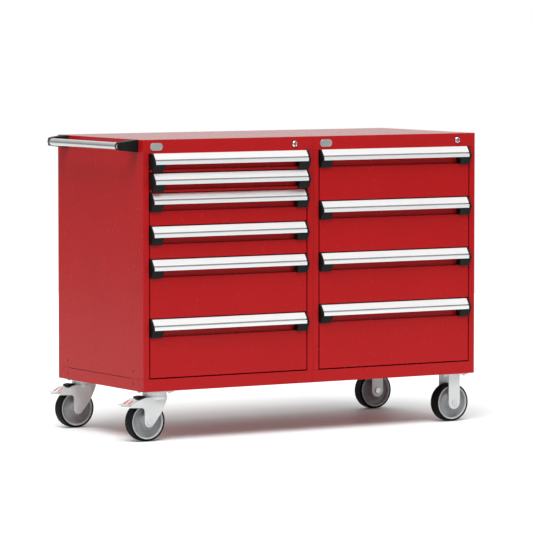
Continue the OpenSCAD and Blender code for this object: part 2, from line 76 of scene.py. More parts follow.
class Side(Enum):
    """Which of the two bays or ends a piece belongs to."""

    LEFT = "left"
    RIGHT = "right"


class CasterEnd(Enum):
    """Front or rear pair of casters."""

    FRONT = "front"
    REAR = "rear"


# ---------------------------------------------------------------- outlines


def arc(centre: Point2, radius: float, start: float, end: float, steps: int = 8) -> list[Point2]:
    """Points along an arc.

    Args:
        centre: Middle of the arc.
        radius: Its radius.
        start: First angle in degrees.
        end: Last angle in degrees.
        steps: Number of chords.

    Returns:
        The points, both ends included.
    """
    angles = [math.radians(start + (end - start) * i / steps) for i in range(steps + 1)]
    return [(centre[0] + radius * math.cos(a), centre[1] + radius * math.sin(a)) for a in angles]


def rounded(points: list[Point2], radius: float, steps: int = 4, closed: bool = True) -> list[Point2]:
    """Rounds the corners of a path.

    Args:
        points: Corners of the path.
        radius: Radius of every corner, made smaller where a side is too short for it.
        steps: Chords in each corner.
        closed: Whether the path is an outline. An open path keeps its two ends.

    Returns:
        The rounded path.
    """
    out: list[Point2] = []
    count = len(points)
    for i, point in enumerate(points):
        if not closed and i in (0, count - 1):
            out.append(point)
            continue
        here = Vector(point)
        before = Vector(points[i - 1]) - here
        after = Vector(points[(i + 1) % count]) - here
        half = before.angle(after) / 2
        reach = min(radius / math.tan(half), before.length * 0.45, after.length * 0.45)
        start = here + before.normalized() * reach
        end = here + after.normalized() * reach
        for k in range(steps + 1):
            t = k / steps
            bend = start * (1 - t) ** 2 + here * 2 * t * (1 - t) + end * t**2
            out.append((bend.x, bend.y))
    return out


def folded(path: list[Point2], wall: float, radius: float) -> list[Point2]:
    """Outline of a sheet folded along a path.

    Args:
        path: Corners of the sheet's middle line.
        wall: Thickness of the sheet.
        radius: Bend radius of the middle line.

    Returns:
        A closed outline with rounded bends.
    """
    line = rounded(path, radius, closed=False)
    left: list[Point2] = []
    right: list[Point2] = []
    for i, point in enumerate(line):
        ahead = Vector(line[min(i + 1, len(line) - 1)]) - Vector(line[max(i - 1, 0)])
        normal = Vector((-ahead.y, ahead.x)).normalized() * wall / 2
        left.append((point[0] + normal.x, point[1] + normal.y))
        right.append((point[0] - normal.x, point[1] - normal.y))
    return left + right[::-1]


def both_faces(half: list[Point2]) -> list[Point2]:
    """A turned profile closed by its own mirror image across its middle plane."""
    return half + [(radius, -y) for radius, y in half[::-1]]


# ---------------------------------------------------------------- meshes


@dataclass
class Shaper:
    """Collects solids in corner-frame millimetres and makes one object of them."""

    origin: Vector
    bm: bmesh.types.BMesh = field(default_factory=bmesh.new)

    def prism(self, outline: list[Point2], axis: Axis, start: float, end: float) -> None:
        """Extrudes a closed outline.

        Args:
            outline: Corners in the axis's own plane.
            axis: Direction of the extrusion.
            start: Where it begins on that axis.
            end: Where it ends.
        """
        place = {
            Axis.X: lambda u, v, w: (w, u, v),
            Axis.Y: lambda u, v, w: (u, w, v),
            Axis.Z: lambda u, v, w: (u, v, w),
        }[axis]
        rings = [[self.bm.verts.new(place(u, v, w)) for u, v in outline] for w in (start, end)]
        count = len(outline)
        for i in range(count):
            j = (i + 1) % count
            self.bm.faces.new([rings[0][i], rings[0][j], rings[1][j], rings[1][i]])
        self.bm.faces.new(rings[0][::-1])
        self.bm.faces.new(rings[1])

    def box(self, low: Point3, high: Point3) -> None:
        """Adds a box between two corners."""
        outline = [(low[0], low[1]), (high[0], low[1]), (high[0], high[1]), (low[0], high[1])]
        self.prism(outline, Axis.Z, low[2], high[2])

    def lathe(self, profile: list[Point2], centre: Point3, steps: int = 72) -> None:
        """Turns a closed profile about a line along Y.

        Args:
            profile: Corners as (radius, y from the centre).
            centre: Point that the line passes through.
            steps: Segments in the turn.
        """
        rings = []
        for k in range(steps):
            a = math.tau * k / steps
            places = [Vector((r * math.cos(a), y, r * math.sin(a))) for r, y in profile]
            rings.append([self.bm.verts.new(Vector(centre) + place) for place in places])
        count = len(profile)
        for k in range(steps):
            nxt = rings[(k + 1) % steps]
            for i in range(count):
                j = (i + 1) % count
                self.bm.faces.new([rings[k][i], rings[k][j], nxt[j], nxt[i]])

    def pan(self, low: Point3, high: Point3, open_side: Point3, wall: float, radius: float) -> None:
        """Adds a folded pan: a box with one side left open, rounded bends and a real wall.

        Args:
            low: Lowest corner, outside.
            high: Highest corner, outside.
            open_side: Unit vector out of the side that is left open.
            wall: Thickness of the sheet.
            radius: Outside radius of its bends.
        """
        part = bmesh.new()
        bmesh.ops.create_cube(part, size=1.0)
        span = Matrix.Diagonal(Vector(high) - Vector(low))
        middle = (Vector(high) + Vector(low)) / 2
        for vert in part.verts:
            vert.co = span @ vert.co + middle
        part.normal_update()
        gone = [f for f in part.faces if f.normal.dot(Vector(open_side)) > 0.9]
        rim = {e for f in gone for e in f.edges}
        bends = [e for e in part.edges if e not in rim]
        bmesh.ops.delete(part, geom=gone, context="FACES")
        bmesh.ops.bevel(part, geom=bends, offset=radius, segments=3, profile=0.5, affect="EDGES")
        bmesh.ops.recalc_face_normals(part, faces=part.faces[:])
        bmesh.ops.solidify(part, geom=part.faces[:], thickness=wall)
        self.merge(part)

    def merge(self, part: bmesh.types.BMesh) -> None:
        """Adds another bmesh's geometry to this one."""
        mesh = bpy.data.meshes.new("part")
        part.to_mesh(mesh)
        part.free()
        self.bm.from_mesh(mesh)
        bpy.data.meshes.remove(mesh)

    def copy_node(self, node: str) -> None:
        """Adds a clean copy of a CAD node's own mesh."""
        part = bmesh.new()
        part.from_mesh(bpy.data.objects[node].data)
        for vert in part.verts:
            vert.co = (vert.co - self.origin) / MM
        bmesh.ops.remove_doubles(part, verts=part.verts[:], dist=0.01)
        bmesh.ops.dissolve_limit(
            part, angle_limit=math.radians(1.0), verts=part.verts[:], edges=part.edges[:]
        )
        self.merge(part)

    def finish(
        self,
        name: str,
        material: bpy.types.Material,
        bevel: float = 0.0,
        sharp: float = 30.0,
        segments: int = 2,
        cuts: "Shaper | None" = None,
    ) -> bpy.types.Object:
        """Makes the object, in metres in the row frame.

        Args:
            name: Name of the piece.
            material: Its finish.
            bevel: Width of the bevel on sharp edges in millimetres, 0 for none.
            sharp: Edges that turn by more than this many degrees are sharp.
            segments: Segments of the bevel.
            cuts: Solids that are cut out before the edges are bevelled.

        Returns:
            The object, linked to the scene.
        """
        piece = self._object(name)
        if cuts is not None:
            carve(piece, cuts._object(name + "_cuts"))
        paint(piece.data, material)
        soften(piece, bevel, sharp, segments)
        return piece

    def _object(self, name: str) -> bpy.types.Object:
        """Links the gathered solids as one object with outward normals."""
        bmesh.ops.remove_doubles(self.bm, verts=self.bm.verts[:], dist=0.001)
        bmesh.ops.recalc_face_normals(self.bm, faces=self.bm.faces[:])
        for vert in self.bm.verts:
            vert.co = vert.co * MM + self.origin
        mesh = bpy.data.meshes.new(name)
        self.bm.to_mesh(mesh)
        self.bm.free()
        return link(name, mesh)


def link(name: str, data: bpy.types.ID) -> bpy.types.Object:
    """Makes an object of some data and puts it in the scene."""
    thing = bpy.data.objects.new(name, data)
    bpy.context.scene.collection.objects.link(thing)
    return thing


def paint(mesh: bpy.types.Mesh, material: bpy.types.Material) -> None:
    """Gives a mesh one finish."""
    mesh.materials.clear()
    mesh.materials.append(material)


def soften(piece: bpy.types.Object, bevel: float, sharp: float, segments: int = 2) -> None:
    """Shades a piece smooth between its sharp edges, which get a small bevel.

    Args:
        piece: The piece.
        bevel: Width of the bevel in millimetres, 0 for none.
        sharp: Edges that turn by more than this many degrees are sharp.
        segments: Segments of the bevel.
    """
    mesh = piece.data
    mesh.polygons.foreach_set("use_smooth", [True] * len(mesh.polygons))
    mesh.set_sharp_from_angle(angle=math.radians(sharp))
    if bevel > 0:
        edge = piece.modifiers.new("Edge", "BEVEL")
        edge.width = bevel * MM
        edge.segments = segments
        edge.limit_method = "ANGLE"
        edge.angle_limit = math.radians(sharp)
        edge.harden_normals = True
    even = piece.modifiers.new("Even", "WEIGHTED_NORMAL")
    even.keep_sharp = True


def carve(piece: bpy.types.Object, cutter: bpy.types.Object) -> None:
    """Cuts one mesh out of another and leaves plain mesh.

    Args:
        piece: Object that is cut.
        cutter: Object that is taken away and removed.
    """
    cut = piece.modifiers.new("Cut", "BOOLEAN")
    cut.operation = "DIFFERENCE"
    cut.solver = "EXACT"
    cut.object = cutter
    settle(piece)
    bpy.data.objects.remove(cutter)


def settle(piece: bpy.types.Object) -> None:
    """Turns an object's modifiers into plain mesh."""
    graph = bpy.context.evaluated_depsgraph_get()
    mesh = bpy.data.meshes.new_from_object(piece.evaluated_get(graph))
    piece.modifiers.clear()
    piece.data = mesh
    mesh.name = piece.name


# ---------------------------------------------------------------- finishes


def preset(node: bpy.types.Node, **values: object) -> None:
    """Sets a node's inputs, with underscores for the spaces in their names."""
    for name, value in values.items():
        node.inputs[name.replace("_", " ")].default_value = value


class Grain:
    """Small helper that wires one material's nodes."""

    def __init__(self, name: str) -> None:
        """Starts an empty material."""
        self.material = bpy.data.materials.new(name)
        self.material.use_nodes = True
        self.tree = self.material.node_tree
        self.shader = self.tree.nodes["Principled BSDF"]
        self.coords = self.tree.nodes.new("ShaderNodeTexCoord")

    def noise(self, scale: Point3, detail: float = 2.0, roughness: float = 0.5) -> bpy.types.NodeSocket:
        """Noise on Object coordinates.

        Args:
            scale: Cells per metre along each axis.
            detail: Octaves.
            roughness: Share of the fine octaves.

        Returns:
            The noise's factor socket.
        """
        mapping = self.tree.nodes.new("ShaderNodeMapping")
        preset(mapping, Scale=scale)
        texture = self.tree.nodes.new("ShaderNodeTexNoise")
        preset(texture, Scale=1.0, Detail=detail, Roughness=roughness)
        self.tree.links.new(self.coords.outputs["Object"], mapping.inputs["Vector"])
        self.tree.links.new(mapping.outputs["Vector"], texture.inputs["Vector"])
        return texture.outputs["Fac"]

    def spread(self, factor: bpy.types.NodeSocket, low: float, high: float) -> bpy.types.NodeSocket:
        """Maps the middle of a noise to a range of values."""
        node = self.tree.nodes.new("ShaderNodeMapRange")
        preset(node, From_Min=0.3, From_Max=0.7, To_Min=low, To_Max=high)
        self.tree.links.new(factor, node.inputs["Value"])
        return node.outputs["Result"]

    def tint(self, factor: bpy.types.NodeSocket, low: Point3, high: Point3) -> None:
        """Varies the base colour between two colours."""
        mix = self.tree.nodes.new("ShaderNodeMix")
        mix.data_type = "RGBA"
        preset(mix, A=(*low, 1.0), B=(*high, 1.0))
        self.tree.links.new(factor, mix.inputs["Factor"])
        self.tree.links.new(mix.outputs["Result"], self.shader.inputs["Base Color"])

    def bump(self, height: bpy.types.NodeSocket, depth: float) -> None:
        """Raises the surface by a noise, depth in metres."""
        node = self.tree.nodes.new("ShaderNodeBump")
        preset(node, Strength=1.0, Distance=depth)
        self.tree.links.new(height, node.inputs["Height"])
        self.tree.links.new(node.outputs["Normal"], self.shader.inputs["Normal"])


def shade(colour: Point3, amount: float) -> Point3:
    """A colour made lighter or darker by a share."""
    return tuple(min(1.0, c * amount) for c in colour)


@dataclass(frozen=True)
class PowderCoat:
    """Semi-gloss powder coat with a fine orange peel."""

    name: str
    colour: Point3
    gloss: float = 0.24
    specular: float = 0.12

    def material(self) -> bpy.types.Material:
        """Builds the paint."""
        grain = Grain(self.name)
        grain.shader.inputs["Specular IOR Level"].default_value = self.specular
        cloud = grain.noise((3.0, 3.0, 3.0), detail=3.0)
        grain.tint(grain.spread(cloud, 0.0, 1.0), shade(self.colour, 0.97), shade(self.colour, 1.03))
        rough = grain.noise((45.0, 45.0, 45.0), detail=4.0)
        grain.tree.links.new(
            grain.spread(rough, self.gloss - 0.03, self.gloss + 0.04), grain.shader.inputs["Roughness"]
        )
        grain.bump(grain.noise((260.0, 260.0, 260.0), detail=1.0), 0.000008)
        return grain.material


@dataclass(frozen=True)
class Metal:
    """Bare or plated metal with a direction to its grain."""

    name: str
    colour: Point3
    roughness: float
    stretch: Point3 = (300.0, 300.0, 300.0)
    depth: float = 0.000004
    mottle: float = 0.05
    metallic: float = 1.0

    def material(self) -> bpy.types.Material:
        """Builds the metal."""
        grain = Grain(self.name)
        grain.shader.inputs["Metallic"].default_value = self.metallic
        cloud = grain.noise((22.0, 22.0, 22.0), detail=5.0, roughness=0.6)
        grain.tint(
            grain.spread(cloud, 0.0, 1.0),
            shade(self.colour, 1 - self.mottle),
            shade(self.colour, 1 + self.mottle),
        )
        lines = grain.noise(self.stretch, detail=3.0)
        grain.tree.links.new(
            grain.spread(lines, self.roughness - 0.05, self.roughness + 0.07),
            grain.shader.inputs["Roughness"],
        )
        grain.bump(lines, self.depth)
        return grain.material


@dataclass(frozen=True)
class Moulding:
    """Moulded plastic or rubber with a spark-eroded texture."""

    name: str
    colour: Point3
    roughness: float
    cells: float = 1400.0
    depth: float = 0.00003
    specular: float = 0.5

    def material(self) -> bpy.types.Material:
        """Builds the moulding."""
        grain = Grain(self.name)
        grain.shader.inputs["Specular IOR Level"].default_value = self.specular
        cloud = grain.noise((60.0, 60.0, 60.0), detail=4.0)
        grain.tint(grain.spread(cloud, 0.0, 1.0), shade(self.colour, 0.88), shade(self.colour, 1.12))
        grain.tree.links.new(
            grain.spread(cloud, self.roughness - 0.04, self.roughness + 0.05),
            grain.shader.inputs["Roughness"],
        )
        grain.bump(grain.noise((self.cells,) * 3, detail=1.0), self.depth)
        return grain.material


@dataclass(frozen=True)
class Palette:
    """Every finish of the chest."""

    red: bpy.types.Material
    cover_red: bpy.types.Material
    pull_metal: bpy.types.Material
    tube_metal: bpy.types.Material
    slide_zinc: bpy.types.Material
    caster_zinc: bpy.types.Material
    chrome: bpy.types.Material
    badge: bpy.types.Material
    black: bpy.types.Material
    hub: bpy.types.Material
    rim: bpy.types.Material
    rubber: bpy.types.Material
    stripe: bpy.types.Material
    strip: bpy.types.Material
    top_red: bpy.types.Material

    @classmethod
    def make(cls) -> "Palette":
        """Builds the materials."""
        fine_x = (6.0, 900.0, 900.0)
        fine = 0.00001
        return cls(
            red=PowderCoat("Red powder coat", (0.375, 0.0075, 0.009)).material(),
            cover_red=PowderCoat("Red cover coat", (0.375, 0.0075, 0.009), specular=0.17).material(),
            # painted shade and sheen: the same red, darker and with a stronger specular, for the faces that
            # point up, so the top reads paler and less red than the front
            top_red=PowderCoat("Red top painted shade and sheen", (0.22, 0.005, 0.006), specular=0.27).material(),
            pull_metal=Metal(
                "Satin aluminium",
                (0.93, 0.925, 0.925),
                0.34,
                fine_x,
                depth=0.000001,
                mottle=0.01,
                metallic=0.72,
            ).material(),
            tube_metal=Metal(
                "Polished tube", (0.50, 0.495, 0.495), 0.15, (700.0, 9.0, 700.0), depth=0.0000015
            ).material(),
            slide_zinc=Metal("Slide zinc", (0.62, 0.64, 0.66), 0.30, (500.0, 8.0, 500.0)).material(),
            caster_zinc=Metal("Caster zinc", (0.62, 0.62, 0.62), 0.42, mottle=0.03, metallic=0.3).material(),
            chrome=Metal("Lock chrome", (0.52, 0.52, 0.52), 0.20).material(),
            badge=Metal("Badge aluminium", (0.52, 0.52, 0.52), 0.35, fine_x).material(),
            black=Moulding(
                "Black plastic", (0.0075, 0.0072, 0.007), 0.50, depth=fine, specular=0.11
            ).material(),
            hub=Moulding("Grey hub plastic", (0.235, 0.235, 0.24), 0.38, 900.0, fine).material(),
            # painted highlight: the rim ring is the hub's plastic made paler to stand in for the highlight
            # on its bead
            rim=Moulding("Rim plastic painted highlight", (0.46, 0.46, 0.46), 0.35, 900.0, fine).material(),
            rubber=Moulding("Tyre rubber", (0.0045, 0.004, 0.004), 0.62, 700.0, fine, 0.08).material(),
            stripe=Moulding("Red pedal paint", (0.42, 0.008, 0.01), 0.4, 700.0, specular=0.1).material(),
            # painted groove shade: grey for the strip in the pulls' grooves, which stands in for the shade
            # there
            strip=Moulding("Grey painted groove shade", (0.30, 0.30, 0.30), 0.4, 700.0, specular=0.2).material(),
        )


# ---------------------------------------------------------------- shared places


@dataclass(frozen=True)
class Chest:
    """Sizes that several sub-assemblies share, in millimetres, most of them read from the frame."""

    origin: Vector
    bay_w: float
    depth: float
    height: float
    post_w: float = 25.4
    base_rail: float = 48.6
    top_rail: float = 53.0
    sheet: float = 1.5

    @classmethod
    def read(cls) -> "Chest":
        """Reads the housings' places from the frame."""
        low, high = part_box("housing_left")
        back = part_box("back_panels")[1]
        return cls(
            origin=low.copy(),
            bay_w=(high.x - low.x) / MM,
            depth=(back.y - low.y) / MM,
            height=(high.z - low.z) / MM,
        )

    def bay_x(self, side: Side) -> float:
        """Left face of a bay."""
        return 0.0 if side is Side.LEFT else self.bay_w

    def local(self, point: Vector) -> Vector:
        """A row-frame point in corner-frame millimetres."""
        return (point - self.origin) / MM

    def span(self, node: str) -> tuple[Vector, Vector]:
        """Lowest and highest corners of a CAD node, in corner-frame millimetres."""
        low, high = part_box(node)
        return self.local(low), self.local(high)

    def lock_z(self) -> float:
        """Height of the locks and the badges, a little under the top rail's middle."""
        return self.height - self.top_rail / 2 - 0.8

    def shaper(self, node: str = "") -> Shaper:
        """A new shaper, empty or with a copy of a CAD node in it."""
        shaper = Shaper(self.origin)
        if node:
            shaper.copy_node(node)
        return shaper


def dress(piece: bpy.types.Object, body: str, slot: str, *nodes: str) -> bpy.types.Object:
    """Gives a piece its body and hides the nodes that it stands for.

    Args:
        piece: The finished piece.
        body: Body that it moves with.
        slot: Name of its material slot; not used.
        *nodes: CAD nodes that it replaces.

    Returns:
        The piece.
    """
    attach(piece, body)
    if nodes:
        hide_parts(*nodes)
    LOG.info("%s rides on %s%s", piece.name, body, " for " + ", ".join(nodes) if nodes else "")
    return piece


def refinish(node: str, material: bpy.types.Material) -> None:
    """Gives a CAD node that stays a better material."""
    paint(bpy.data.objects[node].data, material)
    LOG.info("%s keeps its shape in %s", node, material.name)


# ---------------------------------------------------------------- repeats by nodes


class StudField:
    """Geometry Nodes tree that sets one fastener at every point of a grid."""

    INPUTS = (
        ("Count X", "NodeSocketInt", 2),
        ("Count Y", "NodeSocketInt", 2),
        ("Size X", "NodeSocketFloat", 0.1),
        ("Size Y", "NodeSocketFloat", 0.1),
        ("Head Radius", "NodeSocketFloat", 0.007),
        ("Head Height", "NodeSocketFloat", 0.005),
        ("Head Sides", "NodeSocketInt", 6),
        ("Washer Radius", "NodeSocketFloat", 0.009),
        ("Washer Height", "NodeSocketFloat", 0.0015),
        ("Material", "NodeSocketMaterial", None),
    )

    def __init__(self) -> None:
        """Builds the tree once."""
        self.tree = bpy.data.node_groups.new("Stud field", "GeometryNodeTree")
        for name, kind, default in self.INPUTS:
            socket = self.tree.interface.new_socket(name=name, in_out="INPUT", socket_type=kind)
            if default is not None:
                socket.default_value = default
        self.tree.interface.new_socket(name="Geometry", in_out="OUTPUT", socket_type="NodeSocketGeometry")
        self._wire()

    def _wire(self) -> None:
        """Adds and joins the nodes."""
        nodes, links = self.tree.nodes, self.tree.links
        given = nodes.new("NodeGroupInput")
        grid = nodes.new("GeometryNodeMeshGrid")
        for across in ("X", "Y"):
            links.new(given.outputs[f"Count {across}"], grid.inputs[f"Vertices {across}"])
            links.new(given.outputs[f"Size {across}"], grid.inputs[f"Size {across}"])
        washer = self._disc(given, "Washer Radius", "Washer Height", None)
        head = self._disc(given, "Head Radius", "Head Height", "Head Sides")
        lift = self._raise(head, given.outputs["Washer Height"])
        join = nodes.new("GeometryNodeJoinGeometry")
        place = nodes.new("GeometryNodeInstanceOnPoints")
        real = nodes.new("GeometryNodeRealizeInstances")
        coat = nodes.new("GeometryNodeSetMaterial")
        out = nodes.new("NodeGroupOutput")
        for source, target in (
            (washer, join.inputs["Geometry"]),
            (lift, join.inputs["Geometry"]),
            (grid.outputs["Mesh"], place.inputs["Points"]),
            (join.outputs["Geometry"], place.inputs["Instance"]),
            (place.outputs["Instances"], real.inputs["Geometry"]),
            (real.outputs["Geometry"], coat.inputs["Geometry"]),
            (given.outputs["Material"], coat.inputs["Material"]),
            (coat.outputs["Geometry"], out.inputs["Geometry"]),
        ):
            links.new(source, target)

    def _raise(self, mesh: bpy.types.NodeSocket, height: bpy.types.NodeSocket) -> bpy.types.NodeSocket:
        """Lifts a mesh along Z by the value of a socket."""
        offset = self.tree.nodes.new("ShaderNodeCombineXYZ")
        shift = self.tree.nodes.new("GeometryNodeTransform")
        self.tree.links.new(height, offset.inputs["Z"])
        self.tree.links.new(mesh, shift.inputs["Geometry"])
        self.tree.links.new(offset.outputs["Vector"], shift.inputs["Translation"])
        return shift.outputs["Geometry"]

    def _disc(
        self, given: bpy.types.Node, radius: str, height: str, sides: str | None
    ) -> bpy.types.NodeSocket:
        """A short cylinder that stands on the grid's plane.

        Args:
            given: The group's input node.
            radius: Name of the radius input.
            height: Name of the height input.
            sides: Name of the input with its number of sides, or None for a round one.

        Returns:
            The cylinder's mesh socket.
        """
        nodes, links = self.tree.nodes, self.tree.links
        disc = nodes.new("GeometryNodeMeshCylinder")
        disc.inputs["Vertices"].default_value = 20
        if sides:
            links.new(given.outputs[sides], disc.inputs["Vertices"])
        links.new(given.outputs[radius], disc.inputs["Radius"])
        links.new(given.outputs[height], disc.inputs["Depth"])
        half = nodes.new("ShaderNodeMath")
        half.operation = "MULTIPLY"
        half.inputs[1].default_value = 0.5
        links.new(given.outputs[height], half.inputs[0])
        return self._raise(disc.outputs["Mesh"], half.outputs["Value"])

    def build(
        self, name: str, matrices: list[Matrix], bevel: float, **values: object
    ) -> bpy.types.Object:
        """Makes one plain mesh with the grid repeated at each place.

        Args:
            name: Name of the piece.
            matrices: Place and turn of each grid, in metres.
            bevel: Width of the heads' bevel in millimetres.
            **values: Inputs of the tree, with underscores for spaces.

        Returns:
            The finished object.
        """
        total = bmesh.new()
        holder = link(name + "_grid", bpy.data.meshes.new(name + "_grid"))
        modifier = holder.modifiers.new("Studs", "NODES")
        modifier.node_group = self.tree
        items = self.tree.interface.items_tree
        sockets = {item.name: item.identifier for item in items if item.in_out == "INPUT"}
        for key, value in values.items():
            modifier[sockets[key.replace("_", " ")]] = value
        settle(holder)
        for matrix in matrices:
            mesh = holder.data.copy()
            mesh.transform(matrix)
            total.from_mesh(mesh)
            bpy.data.meshes.remove(mesh)
        mesh = bpy.data.meshes.new(name)
        total.to_mesh(mesh)
        total.free()
        mesh.materials.append(values["Material"])
        bpy.data.objects.remove(holder)
        piece = link(name, mesh)
        soften(piece, bevel, 30.0)
        return piece


# ---------------------------------------------------------------- housings


@dataclass
class Housing:
    """One bay's sheet shell: base, folded wrap and top cover."""

    chest: Chest
    palette: Palette
    side: Side
    seam: float = 0.5
    bend: float = 2.0
    post_d: float = 40.0
    slit_y: tuple[float, float] = (95.0, 600.0)
    slit_h: float = 2.2
    slot_y: tuple[float, float] = (81.0, 610.0)
    slot_z: tuple[float, float] = (18.0, 32.0)
    slot_half: float = 2.1
    hole_z: float = 76.0
    hole_r: float = 3.6
    seam_deep: float = 1.3
    barrel_r: float = 10.0
    upright_gap: float = 10.0
    edge: float = 0.25

    def build(self) -> None:
        """Builds the bay's shell pieces."""
        x0 = self.chest.bay_x(self.side)
        self._base(x0)
        self._wrap(x0)
        self._cover(x0)

    def _outer_x(self) -> float:
        """Plane of the bay's free side."""
        return 0.0 if self.side is Side.LEFT else 2 * self.chest.bay_w

    def _base(self, x0: float) -> None:
        """Base pan with its floor, open upwards."""
        c = self.chest
        shaper = c.shaper()
        top = c.base_rail - self.seam
        shaper.pan((x0, 0, 0), (x0 + c.bay_w, c.depth - c.sheet, top), (0, 0, 1), c.sheet, self.bend)
        inset = c.sheet + 0.1
        shaper.box((x0 + inset, inset, top - c.sheet), (x0 + c.bay_w - inset, c.depth - 2 * inset, top))
        self._finish(shaper, "base", self._base_cuts(), f"housing_{self.side.value}")

    def _finish(self, shaper: Shaper, name: str, cuts: Shaper | None = None, *nodes: str) -> None:
        """Makes a red piece of the shell.

        Args:
            shaper: Its solids.
            name: Name of the piece, without its side.
            cuts: Solids that are cut out of it.
            *nodes: CAD nodes that it replaces.
        """
        name = f"{name}_{self.side.value}"
        dress(shaper.finish(name, self.palette.red, self.edge, cuts=cuts), "housing", "red_paint", *nodes)

    def _base_cuts(self) -> Shaper:
        """Slots, mitre seams and the long slit of the base's free side."""
        c = self.chest
        x = self._outer_x()
        cuts = c.shaper()
        half, (low, high) = self.slot_half, self.slot_z
        top = c.base_rail - self.seam
        for y in self.slot_y:
            outline = rounded([(y - half, low), (y + half, low), (y + half, high), (y - half, high)], 2.0)
            cuts.prism(outline, Axis.X, x - 3, x + 3)
        mitre = ((1.5, 0.5), (3.3, 0.5), (49.8, 47.0), (48.0, 47.0))
        for y, lean in ((0.0, 1.0), (c.depth, -1.0)):
            line = [(y + lean * along, z) for along, z in mitre]
            cuts.prism(line, Axis.X, x - self.seam_deep, x + self.seam_deep)
        cuts.box((x - 3, self.slit_y[0], top - self.slit_h), (x + 3, self.slit_y[1], top + 1))
        return cuts

    def _wrap(self, x0: float) -> None:
        """Folded posts and sides in one sheet on each side of the bay."""
        c = self.chest
        half = c.sheet / 2
        low, high = c.base_rail, c.height - c.top_rail - self.seam
        shaper = c.shaper()
        inner = c.post_w - half
        path = [
            (inner - 12, self.post_d - half),
            (inner, self.post_d - half),
            (inner, half),
            (half, half),
            (half, c.depth - c.sheet - half),
            (30.0, c.depth - c.sheet - half),
        ]
        for edge, lean in ((x0, 1), (x0 + c.bay_w, -1)):
            line = [(edge + lean * x, y) for x, y in path]
            shaper.prism(folded(line, c.sheet, self.bend - half), Axis.Z, low, high)
        cuts = c.shaper()
        x = self._outer_x()
        for y in self.slot_y:
            cuts.prism(arc((y, self.hole_z), self.hole_r, 0, 345, 23), Axis.X, x - 4, x + 4)
        self._finish(shaper, "wrap", cuts)
        uprights = c.shaper()
        rear_y = c.span("slide_rails_left")[1].y - self.upright_gap
        for sign, edge in ((1, x0), (-1, x0 + c.bay_w)):
            line = [
                (edge + sign * 2.5, rear_y + half),
                (edge + sign * inner, rear_y + half),
                (edge + sign * inner, rear_y - self.post_d),
            ]
            uprights.prism(folded(line, c.sheet, 2.0), Axis.Z, low, high)
        self._finish(uprights, "uprights")

    def _cover(self, x0: float) -> None:
        """Top cover with its skirts, and the folded lip over the drawers."""
        c = self.chest
        shaper = c.shaper()
        low = c.height - c.top_rail
        shaper.pan(
            (x0, 0, low), (x0 + c.bay_w, c.depth - c.sheet, c.height), (0, 0, -1), c.sheet, self.bend
        )
        lip = [(1.6, low + 0.75), (self.post_d, low + 0.75), (self.post_d, low + 12)]
        shaper.prism(folded(lip, c.sheet, 2.0), Axis.X, x0 + c.post_w, x0 + c.bay_w - c.post_w)
        plug_low, plug_high = c.span(f"lock_plug_{self.side.value}")
        cuts = c.shaper()
        lock = ((plug_low.x + plug_high.x) / 2, c.lock_z())
        cuts.prism(arc(lock, self.barrel_r, 0, 350, 35), Axis.Y, -4, 4)
        piece = shaper.finish(f"cover_{self.side.value}", self.palette.cover_red, self.edge, cuts=cuts)
        # painted shade and sheen: faces that point up take the darker, glossier top red
        piece.data.materials.append(self.palette.top_red)
        for face in piece.data.polygons:
            face.material_index = int(face.normal.z > 0.9)
        dress(piece, "housing", "red_paint")


@dataclass
class BackPanels:
    """Two flat back panels, held by rows of screws."""

    chest: Chest
    palette: Palette
    studs: StudField
    margin: float = 12.0
    corner: float = 90.0
    rows: int = 7
    columns: int = 5

    def build(self) -> None:
        """Builds the panels and their screws."""
        c = self.chest
        shaper = c.shaper()
        y0, y1 = c.depth - c.sheet, c.depth
        for x0 in (0.0, c.bay_w):
            shaper.box((x0 + 0.4, y0, 0.4), (x0 + c.bay_w - 0.4, y1, c.height - 0.4))
        dress(shaper.finish("back_sheets", self.palette.red, 0.3), "housing", "red_paint", "back_panels")
        turn = Matrix.Rotation(math.radians(-90), 4, "X")
        places = []
        for x0 in (0.0, c.bay_w):
            middle = Vector((x0 + c.bay_w / 2, c.depth, c.height / 2)) * MM + c.origin
            places.append(Matrix.Translation(middle) @ turn)
        for name, count_x, count_z, inset_x, inset_z in (
            ("sides", 2, self.rows, self.margin, self.corner),
            ("ends", self.columns, 2, self.corner, self.margin),
        ):
            piece = self.studs.build(
                f"back_screws_{name}",
                places,
                0.3,
                Count_X=count_x,
                Count_Y=count_z,
                Size_X=(c.bay_w - 2 * inset_x) * MM,
                Size_Y=(c.height - 2 * inset_z) * MM,
                Head_Radius=0.0028,
                Head_Height=0.0012,
                Head_Sides=16,
                Washer_Radius=0.0045,
                Washer_Height=0.0006,
                Material=self.palette.red,
            )
            dress(piece, "housing", "red_paint")


# ---------------------------------------------------------------- drawers


